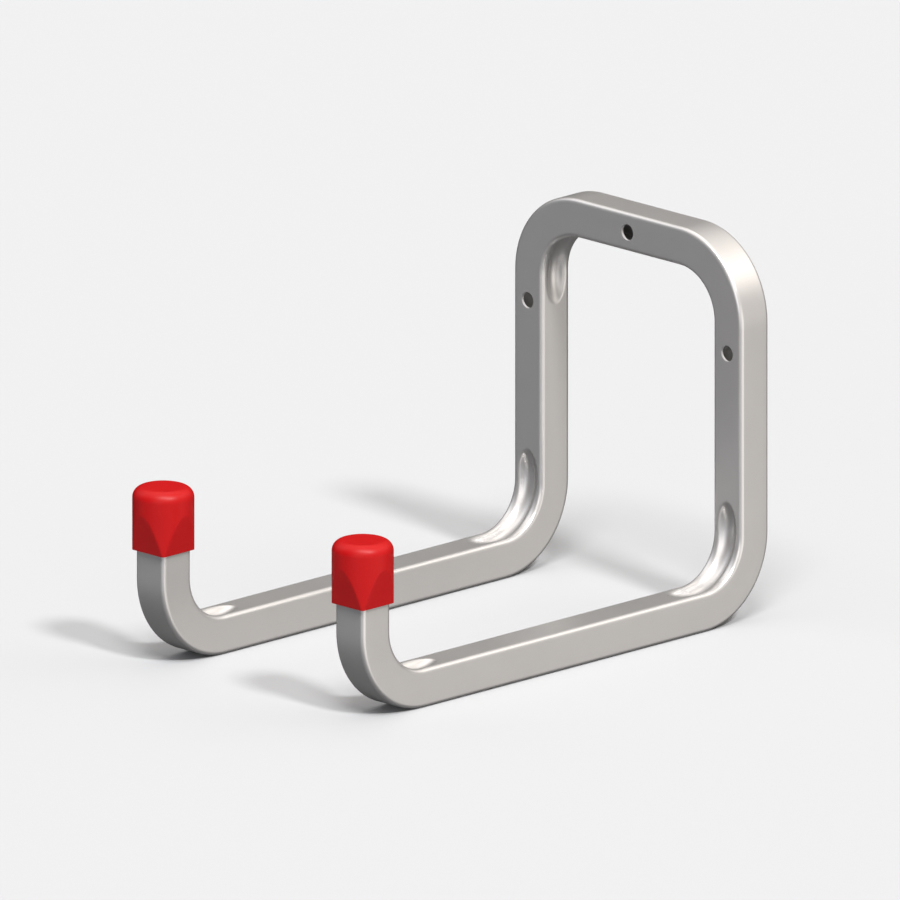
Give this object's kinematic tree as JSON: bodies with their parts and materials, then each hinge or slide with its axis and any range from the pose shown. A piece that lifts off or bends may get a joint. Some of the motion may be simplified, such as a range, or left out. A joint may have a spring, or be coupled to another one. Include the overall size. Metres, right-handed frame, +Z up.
{
  "type": "garage utility hook",
  "caption": "Double wall hook bent from one length of square steel tube, with pressed dents inside its bends, screw holes through its frame and red moulded caps on its upturned tips.",
  "frame": {"origin": "mouth of the top screw hole on the wall plane, at the middle of the top bar", "axes": "+Z up, +Y into the wall, +X to the right seen from the front; the arms reach towards -Y"},
  "size_m": [0.1722, 0.2931, 0.197],
  "materials": {
    "tube": "satin zinc-plated steel, fine even grain",
    "cap": "moulded plastic, satin red"
  },
  "bodies": {
    "root": {"hook_frame": "tube", "left_end_cap": "cap", "right_end_cap": "cap"}
  },
  "joints": []
}
